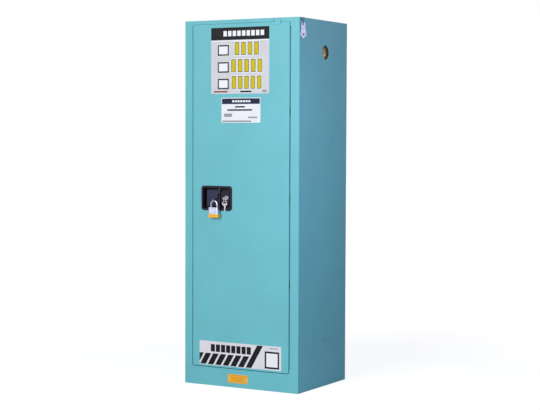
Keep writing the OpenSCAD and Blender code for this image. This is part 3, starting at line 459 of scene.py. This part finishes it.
# Shelves: three pans of folded sheet steel with a lip all round, in the cabinet's own coat. They sit
# loose on their clips and lift out, so their coat is rubbed more than the cabinet's.
shelf_paint = coated_steel("shelf_paint", TURQUOISE, 0.38, 0.0021, tone(160, 206, 212), 0.6)
for node in ("shelf_1", "shelf_2", "shelf_3"):
    finish_node(node, shelf_paint, 0.0007)


# Spill trays: one deep tray on each shelf, moulded in dark grey polyethylene with rounded corners and
# a turned-out rim. The moulded face has a fine even grain and goes shiny where bottles have slid.
def make_moulded_grain():
    """Height of the fine pebble of a moulded plastic, and where its face has been polished by use."""
    group, given = new_group("moulded_grain", {"Grain Size": 0.0007, "Polish Size": 0.12},
                             ["Grain", "Polish"])
    place = group.nodes.new("ShaderNodeTexCoord").outputs["Object"]
    pebbles = add_node(group, "ShaderNodeTexVoronoi", {"feature": "SMOOTH_F1"}, Vector=place,
                       Scale=maths(group, "DIVIDE", 1.0, given["Grain Size"]))
    polish = spread(group, cloud(group, given["Polish Size"], 4.0), 0.0, 1.0, 0.42, 0.7)
    give_out(group, Grain=pebbles.outputs["Distance"], Polish=polish)
    return group


MOULDED_GRAIN = make_moulded_grain()


def moulded_plastic(name, color, gloss, grain_size=0.0007, depth=0.00003):
    """A moulded plastic with a fine grain; gloss is the roughness where use has polished it."""
    material, tree, shader = new_material(name, IOR=1.5)
    face = from_group(tree, MOULDED_GRAIN, Grain_Size=grain_size)
    marks = from_group(tree, HANDLING_MARKS, Smudge_Size=0.05)
    worn = from_group(tree, WORN_EDGES, Width=0.0008)["Mask"]
    body = mix(tree, face["Polish"], shifted(color, 0.96), shifted(color, 1.04))
    body = mix(tree, maths(tree, "MULTIPLY", marks["Scratches"], 0.25), body, shifted(color, 1.3))
    body = mix(tree, maths(tree, "MULTIPLY", worn, 0.2), body, shifted(color, 1.25))
    tree.links.new(body, shader.inputs["Base Color"])
    tree.links.new(spread(tree, face["Polish"], gloss + 0.08, gloss), shader.inputs["Roughness"])
    raise_surface(tree, shader, (face["Grain"], depth))
    return material


def tray_corner(inset):
    """Picks the upright corner edges of one of the tray's three outlines, by how far in it lies."""
    def picked(first, second):
        return (abs(first.x - second.x) < 1e-6 and abs(first.y - second.y) < 1e-6
                and abs(abs(first.x) - (TRAY_HALF - inset)) < 1e-4)
    return picked


tray_plastic = moulded_plastic("tray_plastic", (58, 61, 66), 0.34)
TRAY_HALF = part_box("tray_1")[1].x
first_tray = copy_of("tray_1")
for inset, radius in ((0.0, 0.018), (0.006, 0.012), (0.009, 0.009)):
    round_edges(first_tray, radius, tray_corner(inset), 8)
round_edges(first_tray, 0.0009)
smooth(first_tray)
for node in ("tray_2", "tray_3"):
    tray = bpy.data.objects.new(node + "_finished", first_tray.data.copy())
    bpy.context.scene.collection.objects.link(tray)
    tray.data.transform(Matrix.Translation((0, 0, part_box(node)[0].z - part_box("tray_1")[0].z)))
    put_in_place(tray, tray_plastic, node)
put_in_place(first_tray, tray_plastic, "tray_1")


# Vents: a steel sleeve through both walls, high on the right and low on the left, with a dark coat,
# two brass gauze screens inside, and a cast brass plug screwed in with a bar across its hollow face.
vent_coat = coated_steel("vent_coat", (58, 44, 40), 0.4, 0.0015, tone(120, 96, 84), 0.5)
vent_brass = plated_metal("vent_brass", (255, 242, 204), (146, 110, 76), 0.42, 0.0006, 0.012, 0.00002)
finish_node("vent_sleeves", vent_coat, 0.0009)
finish_node("vent_plugs", vent_brass, 0.0016)


def make_woven_gauze():
    """1 on the wires of a plain weave that stands in a Y-Z plane, 0 in its meshes."""
    group, given = new_group("woven_gauze", {"Mesh Size": 0.0012, "Open Share": 0.62}, ["Wires"])
    place = group.nodes.new("ShaderNodeTexCoord").outputs["Object"]
    axes = add_node(group, "ShaderNodeSeparateXYZ", None, Vector=place).outputs
    half_mesh = maths(group, "MULTIPLY", given["Mesh Size"], 0.5)
    wires = [maths(group, "GREATER_THAN",
                   maths(group, "DIVIDE", maths(group, "PINGPONG", axes[side], half_mesh), half_mesh),
                   given["Open Share"]) for side in ("Y", "Z")]
    give_out(group, Wires=maths(group, "MAXIMUM", wires[0], wires[1]))
    return group


gauze_brass = plated_metal("gauze_brass", (186, 152, 84), (142, 108, 58), 0.3, 0.0006, 0.012, 0.00002)
wires = from_group(gauze_brass.node_tree, make_woven_gauze())["Wires"]
gauze_brass.node_tree.links.new(wires, gauze_brass.node_tree.nodes["Principled BSDF"].inputs["Alpha"])
finish_node("flash_screens", gauze_brass)


# Earthing screw and feet: a zinc-plated hexagon screw with its washer low on the right side, and four
# levelling feet on threaded stems under the base plate.
for node in ("earth_screw", "levelling_feet"):
    finish_node(node, bright_zinc, 0.0005)


# Hinge: one piano hinge down the right side, two leaves whose knuckles take turns on one pin. Their coat
# is painted darker than the cabinet's, as painted shade for the narrow gap the hinge sits in. In three
# of its slots a spring wound round the pin closes the door.
def wound_spring(name, place, radius, wire, pitch, turns, lie="Z"):
    """A closed coil of round wire on a point, along an axis, with its ends capped."""
    bpy.ops.object.select_all(action="DESELECT")
    bpy.ops.mesh.primitive_circle_add(vertices=10, radius=wire / 2, location=(radius, 0, 0),
                                      rotation=(math.radians(90), 0, 0))
    spring = bpy.context.object
    spring.name = name
    bpy.ops.object.transform_apply()
    apply_modifier(spring, "SCREW", axis="Z", steps=20, render_steps=20, iterations=turns,
                   screw_offset=pitch, use_merge_vertices=False)
    bpy.ops.object.mode_set(mode="EDIT")
    bpy.ops.mesh.select_all(action="SELECT")
    bpy.ops.mesh.fill_holes(sides=12)
    bpy.ops.mesh.normals_make_consistent(inside=False)
    bpy.ops.object.mode_set(mode="OBJECT")
    if lie == "X":
        spring.rotation_euler = (0, math.radians(90), 0)
    spring.location = place
    bpy.ops.object.transform_apply()
    smooth(spring, 60)
    return spring


# The hinge's base colour is darker than the cabinet's coat: painted shade for the gap it sits in.
hinge_coat = coated_steel("hinge_coat", (36, 116, 140), 0.4, 0.0018, tone(110, 140, 150), 0.4, 0.0005)
spring_steel = plated_metal("spring_steel", (96, 95, 100), (62, 61, 68), 0.3, 0.0002)
for node in ("hinge_frame_leaf", "hinge_door_leaf"):
    finish_node(node, hinge_coat, 0.0002)
finish_node("hinge_pin", bright_zinc)
HINGE_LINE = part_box("hinge_pin")[0].lerp(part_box("hinge_pin")[1], 0.5)
SPRING_FEET = (0.4599, 0.8414, 1.2230)
SPRING_RADIUS = 0.00185
SPRING_WIRE = 0.00095
SPRING_PITCH = 0.00113
SPRING_TURNS = 31
for number, foot in enumerate(SPRING_FEET):
    spring = wound_spring("hinge_spring_%d" % (number + 1), (HINGE_LINE.x, HINGE_LINE.y, foot),
                          SPRING_RADIUS, SPRING_WIRE, SPRING_PITCH, SPRING_TURNS)
    put_in_place(spring, spring_steel, "hinge_springs")


# Latch: strikes on the frame, and inside the door a hub on a plate that a draw bar turns, a side bolt,
# and two rods in nylon guides. All the steel is zinc plated, and scratched bright where it slides.
for node in ("strike_plates", "latch_plate", "latch_hub", "draw_bar", "side_bolt", "upper_rod",
             "lower_rod"):
    finish_node(node, bright_zinc, 0.0004)
guide_nylon = moulded_plastic("guide_nylon", (226, 224, 214), 0.42, 0.0004, 0.00001)
finish_node("latch_guides", guide_nylon, 0.0005)


# Handle: a die-cast housing with a deep recess let into the door, and a pull paddle on a pin in it.
# Both have a dark textured coat, the housing purplish black and the paddle a little bluer.
housing_coat = coated_steel("housing_coat", (34, 26, 40), 0.42, 0.0009, tone(120, 116, 128), 0.4,
                            0.0007, 0.25)
paddle_coat = coated_steel("paddle_coat", (44, 50, 74), 0.4, 0.0009, tone(128, 132, 146), 0.4,
                           0.0007, 0.25)
finish_node("handle_housing", housing_coat, 0.0010)
finish_node("paddle", paddle_coat, 0.0007)
finish_node("paddle_pin", spring_steel, 0.0003)
PADDLE_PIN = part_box("paddle_pin")[0].lerp(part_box("paddle_pin")[1], 0.5)
PADDLE_SPRING_FOOT = 0.8474
PADDLE_SPRING_RADIUS = 0.00365
PADDLE_SPRING_WIRE = 0.0013
PADDLE_SPRING_PITCH = 0.00155
PADDLE_SPRING_TURNS = 17
LEG_MIDDLE = (-0.1155, -0.209, 0.8605)
LEG_LENGTH = 0.0139
coil = wound_spring("paddle_spring_wound", (PADDLE_PIN.x, PADDLE_PIN.y, PADDLE_SPRING_FOOT),
                    PADDLE_SPRING_RADIUS, PADDLE_SPRING_WIRE, PADDLE_SPRING_PITCH, PADDLE_SPRING_TURNS)
bpy.ops.object.select_all(action="DESELECT")
bpy.ops.mesh.primitive_cylinder_add(vertices=12, radius=PADDLE_SPRING_WIRE / 2, depth=LEG_LENGTH,
                                    location=LEG_MIDDLE, rotation=(math.radians(90), 0, 0))
leg = bpy.context.object
bpy.ops.object.transform_apply()
round_edges(leg, 0.0002, None, 2)
smooth(leg)
coil.select_set(True)
bpy.context.view_layer.objects.active = coil
bpy.ops.object.join()
put_in_place(coil, spring_steel, "paddle_spring")


# Padlock eye: a steel ear that comes out of the housing through a slot in the paddle. It is stamped
# from flat bar and zinc plated, and the padlock's shackle hangs in its hole.
finish_node("padlock_eye", bright_zinc, 0.0004)


# Lock: a cylinder with a chromed rim in the housing's boss, its plug, and the key in it.
# The keys are nickel-plated brass, stamped flat, with a milled groove and a cut blade.
lock_chrome = plated_metal("lock_chrome", (226, 226, 236), (196, 196, 208), 0.1, 0.0003, 0.01, 0.000002)
key_nickel = plated_metal("key_nickel", (252, 250, 248), (238, 233, 230), 0.2, 0.0003, 0.01, 0.000004)
finish_node("lock_cylinder", lock_chrome, 0.0007)
finish_node("lock_plug", lock_chrome, 0.0004)


def cut_away(piece, cutters):
    """Takes the shapes of one or more cutters out of a piece."""
    for cutter in cutters:
        apply_modifier(piece, "BOOLEAN", operation="DIFFERENCE", solver="EXACT", object=cutter)
        bpy.data.objects.remove(cutter)


def cutting_block(place, size, turn=0.0):
    """A block to cut with, turned about its upright middle by some degrees."""
    bpy.ops.object.select_all(action="DESELECT")
    bpy.ops.mesh.primitive_cube_add(size=1, location=place, scale=size,
                                    rotation=(0, 0, math.radians(turn)))
    bpy.ops.object.transform_apply()
    return bpy.context.object


KEY_LOW, KEY_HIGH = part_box("lock_key")
KEY_MIDDLE = KEY_LOW.lerp(KEY_HIGH, 0.5)
BOW_LENGTH = 0.019
BLADE_START = KEY_LOW.y + BOW_LENGTH
BLADE_EDGE = KEY_MIDDLE.x - 0.0038
NOTCHES = ((0.0058, 0.0012), (0.0090, 0.0023), (0.0122, 0.0016), (0.0154, 0.0026), (0.0186, 0.0011))
CUTTER = 0.004
CUTTER_REACH = CUTTER * math.sqrt(0.5)
TIP_CUTTER_OFFSET = 0.0044
GROOVE_SIZE = (0.0014, 0.0202, 0.0008)
GROOVE_OFFSET = Vector((0.0012, 0.014))
key = copy_of("lock_key")
blocks = [cutting_block((BLADE_EDGE - CUTTER_REACH + depth, BLADE_START + along, KEY_MIDDLE.z),
                        (CUTTER, CUTTER, CUTTER), 45) for along, depth in NOTCHES]
blocks += [cutting_block((KEY_MIDDLE.x + side * TIP_CUTTER_OFFSET, KEY_HIGH.y, KEY_MIDDLE.z),
                         (CUTTER, CUTTER, CUTTER), 45) for side in (-1, 1)]
blocks += [cutting_block((KEY_MIDDLE.x + GROOVE_OFFSET.x, BLADE_START + GROOVE_OFFSET.y, face),
                         GROOVE_SIZE) for face in (KEY_LOW.z, KEY_HIGH.z)]
cut_away(key, blocks)
round_edges(key, 0.00018)
smooth(key)
spare_key = bpy.data.objects.new("spare_key_finished", key.data.copy())
bpy.context.scene.collection.objects.link(spare_key)
SPARE_TOP = Vector((-0.071, -0.2495, 0.8401))
RING_MIDDLE = (SPARE_TOP.x - 0.0008, -0.24945, 0.8467)
RING_RADIUS = 0.0095
RING_WIRE = 0.00082
spare_key.data.transform(Matrix.Translation(SPARE_TOP) @ Matrix.Rotation(math.radians(-90), 4, "X")
                         @ Matrix.Translation((-KEY_MIDDLE.x, -KEY_LOW.y, -KEY_MIDDLE.z)))
put_in_place(key, key_nickel, "lock_key")
split_ring = wound_spring("split_ring", RING_MIDDLE, RING_RADIUS, RING_WIRE, 0.0008, 2, "X")
put_in_place(spare_key, key_nickel, "spare_key_ring")
put_in_place(split_ring, key_nickel, "spare_key_ring")


# Padlock: a body of ten steel laminations riveted together, a hardened chromed shackle, and a moulded
# yellow bumper round the foot of the body.
padlock_steel = plated_metal("padlock_steel", (222, 222, 236), (200, 201, 220), 0.36, 0.0004, 0.01)
bumper_plastic = moulded_plastic("bumper_plastic", (247, 184, 42), 0.4, 0.0006, 0.00002)
shackle_chrome = plated_metal("shackle_chrome", (222, 222, 224), (182, 182, 180), 0.12, 0.0003, 0.008,
                              0.000002)
finish_node("padlock_shackle", shackle_chrome)
PADLOCK_LOW, PADLOCK_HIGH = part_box("padlock_body")
PADLOCK_MIDDLE = PADLOCK_LOW.lerp(PADLOCK_HIGH, 0.5)
KEYWAY_SIZE = (0.0075, 0.0014, 0.006)
RIVET_OFFSET = Vector((0.0175, 0.0078))
RIVET_RADIUS = 0.0023
RIVET_HEIGHT = 0.0016
body = copy_of("padlock_body")
cut_away(body, [cutting_block((PADLOCK_MIDDLE.x, PADLOCK_MIDDLE.y, PADLOCK_LOW.z), KEYWAY_SIZE)])
round_edges(body, 0.0002)
for side_x in (-1, 1):
    for side_y in (-1, 1):
        place = (PADLOCK_MIDDLE.x + side_x * RIVET_OFFSET.x, PADLOCK_MIDDLE.y + side_y * RIVET_OFFSET.y,
                 PADLOCK_HIGH.z)
        bpy.ops.object.select_all(action="DESELECT")
        bpy.ops.mesh.primitive_cylinder_add(vertices=24, radius=RIVET_RADIUS, depth=RIVET_HEIGHT,
                                            location=place)
        rivet = bpy.context.object
        bpy.ops.object.transform_apply()
        round_edges(rivet, 0.0006)
        work_on(body)
        rivet.select_set(True)
        bpy.ops.object.join()
smooth(body)
put_in_place(body, padlock_steel, "padlock_body")
finish_node("padlock_bumper", bumper_plastic, 0.0012)


# Fusible link: an eye bolt on the cabinet's side holds a wire hook, both gone dark, and from it hangs
# a stamped link with two holes, hot-dip galvanised, so its face shows the clouds of the zinc.
link_zinc = plated_metal("link_zinc", (186, 181, 188), (152, 147, 156), 0.36, 0.0005, 0.006, 0.00001)
dark_zinc = plated_metal("dark_zinc", (112, 106, 118), (78, 72, 84), 0.4)
finish_node("link_eye", dark_zinc, 0.0003)
finish_node("link_hook", dark_zinc)
finish_node("fusible_link", link_zinc, 0.0006)


# Door tab: a small folded ear at the top of the door, with a slot for a hold-open line. It is of the
# door's own sheet steel, and coated with it.
finish_node("door_tab", cabinet_paint, 0.0005)


# Labels: vinyl foils with rounded corners on the door and the sill. They are screen printed in plain
# fields, rules, bars and outlined squares, with crisp edges and ink a little duller than bare vinyl.
BLACK = (18, 18, 21)
WHITE = (240, 240, 242)
YELLOW = (206, 188, 8)
NAVY = (24, 32, 62)
GREY = (150, 152, 158)
RUST = (140, 62, 46)
ORANGE = (214, 128, 30)


def make_printed_bars():
    """1 inside bars of ink that stand side by side in a field, leaning if asked, and 0 round them."""
    sizes = {"Left": 0.0, "Right": 0.1, "Foot": 0.0, "Top": 0.1, "Lean": 0.0, "Pitch": 10.0, "Bar": 10.0}
    group, given = new_group("printed_bars", sizes, ["Ink"])
    place = group.nodes.new("ShaderNodeTexCoord").outputs["Object"]
    axes = add_node(group, "ShaderNodeSeparateXYZ", None, Vector=place).outputs
    above = maths(group, "SUBTRACT", axes["Z"], given["Foot"])
    below = maths(group, "SUBTRACT", given["Top"], axes["Z"])
    upright = maths(group, "SUBTRACT", axes["X"], maths(group, "MULTIPLY", above, given["Lean"]))
    inward = maths(group, "SUBTRACT", upright, given["Left"])
    outward = maths(group, "SUBTRACT", given["Right"], upright)
    in_bar = maths(group, "MODULO", inward, given["Pitch"])
    depth = maths(group, "MINIMUM", maths(group, "MINIMUM", above, below),
                  maths(group, "MINIMUM", inward, outward))
    depth = maths(group, "MINIMUM", depth, maths(group, "SUBTRACT", given["Bar"], in_bar))
    depth = maths(group, "MINIMUM", depth, in_bar)
    give_out(group, Ink=maths(group, "MULTIPLY_CLAMPED", depth, 5000.0))
    return group


PRINTED_BARS = make_printed_bars()


def printed_foil(name, vinyl, prints):
    """A glossy foil; a print is its ink, left, right, foot and top in mm, then lean, pitch and bar."""
    material, tree, shader = new_material(name, IOR=1.5, Specular_IOR_Level=0.2)
    marks = from_group(tree, HANDLING_MARKS, Smudge_Size=0.06)
    face = mix(tree, marks["Smudges"], tone(*vinyl), shifted(vinyl, 0.97))
    inked = 0.0
    for ink, left, right, foot, top, *bars in prints:
        lean, pitch, bar = bars or (0.0, 10000.0, 10000.0)
        laid = from_group(tree, PRINTED_BARS, Left=left / 1000, Right=right / 1000, Foot=foot / 1000,
                          Top=top / 1000, Lean=lean, Pitch=pitch / 1000, Bar=bar / 1000)["Ink"]
        face = mix(tree, laid, face, tone(*ink))
        inked = maths(tree, "MAXIMUM", inked, laid)
    face = mix(tree, maths(tree, "MULTIPLY", marks["Scratches"], 0.15), face, tone(*WHITE))
    tree.links.new(face, shader.inputs["Base Color"])
    rough = maths(tree, "ADD", spread(tree, inked, 0.3, 0.42),
                  maths(tree, "MULTIPLY", marks["Smudges"], 0.1))
    tree.links.new(rough, shader.inputs["Roughness"])
    raise_surface(tree, shader, (cloud(tree, 0.03, 2.0), 0.0001), (inked, 0.00001))
    return material


def outlined_square(left, right, foot, top, line):
    """A white square with a black line round it."""
    return [(BLACK, left, right, foot, top), (WHITE, left + line, right - line, foot + line, top - line)]


def outlined_bars(left, foot, top, count, pitch, bar, line):
    """A row of yellow bars, each with a black line round it and a white edge round that."""
    right = left + (count - 1) * pitch + bar
    return [(WHITE, left - 3, right + 3, foot - 3, top + 3, 0.0, pitch, bar + 6),
            (BLACK, left, right, foot, top, 0.0, pitch, bar),
            (YELLOW, left + line, right, foot + line, top - line, 0.0, pitch, bar - 2 * line)]


MAIN_PRINTS = [(BLACK, -157, 145, 1560, 1617), (WHITE, -92, 118, 1577, 1601, 0.0, 24, 18),
               (WHITE, -157, 145, 1555, 1560)]
for foot in (1491.5, 1415.5, 1341.5):
    MAIN_PRINTS += outlined_square(-121.5, -63.5, foot, foot + 47, 6)
MAIN_PRINTS += outlined_bars(-33, 1492.5, 1550, 4, 33.5, 23.5, 2.6)
MAIN_PRINTS += outlined_bars(-51, 1416.5, 1474, 5, 34.0, 24.0, 2.6)
MAIN_PRINTS += outlined_bars(-48, 1342.5, 1400, 5, 32.5, 23.0, 2.6)
MAIN_PRINTS += [(RUST, -141, -70, 1327, 1334), (BLACK, -3.7, 54, 1327, 1334),
                (GREY, 110, 132, 1326, 1337)]
INFO_PRINTS = [(NAVY, -99, 97.5, 1275, 1300), (WHITE, -46, 52, 1283, 1292, 0.0, 14, 11),
               (BLACK, -31, 20, 1259, 1266), (BLACK, -71, 58, 1245, 1252), (GREY, -88, -46, 1218, 1233),
               (GREY, 36, 84, 1212, 1219), (GREY, -98, 53, 1195, 1202)]
LOWER_PRINTS = [(BLACK, -253, 17, 97, 148, 0.58, 40, 30), (BLACK, 27, 57, 97, 201, 0.58, 10000, 10000),
                (BLACK, -156, 56, 156, 190, 0.0, 27, 22), (GREY, 150, 194, 190, 194)]
LOWER_PRINTS += outlined_square(126, 200, 101, 178, 8)
SILL_PRINTS = [(ORANGE, -61, 33.5, 55, 57.5), (ORANGE, -61, 33.5, 25.5, 28), (ORANGE, -52, 25, 47, 50),
               (ORANGE, -44, 17, 40, 43), (ORANGE, -52, 25, 33, 36)]


def cut_foil(name, node, left, right, foot, top, vinyl, prints):
    """A foil of its node's thickness, between a left, right, foot and top in mm."""
    low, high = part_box(node)
    bpy.ops.object.select_all(action="DESELECT")
    bpy.ops.mesh.primitive_cube_add(
        size=1, location=((left + right) / 2000, (low.y + high.y) / 2, (foot + top) / 2000),
        scale=((right - left) / 1000, high.y - low.y, (top - foot) / 1000))
    foil = bpy.context.object
    foil.name = name
    bpy.ops.object.transform_apply()
    round_edges(foil, 0.003, lambda first, second: abs(first.y - second.y) > 1e-5, 6)
    round_edges(foil, 0.00006, None, 2)
    smooth(foil)
    put_in_place(foil, printed_foil(name, vinyl, prints), node)


cut_foil("main_label", "door_labels", -156.75, 144.25, 1321, 1616, (212, 212, 214), MAIN_PRINTS)
cut_foil("info_label", "door_labels", -101.75, 100.25, 1192, 1303, (236, 237, 240), INFO_PRINTS)
cut_foil("lower_label", "door_labels", -216.5, 210, 95, 203, (228, 224, 227), LOWER_PRINTS)
cut_foil("sill_label_printed", "sill_label", -65.25, 37.75, 22, 61, (250, 186, 58), SILL_PRINTS)
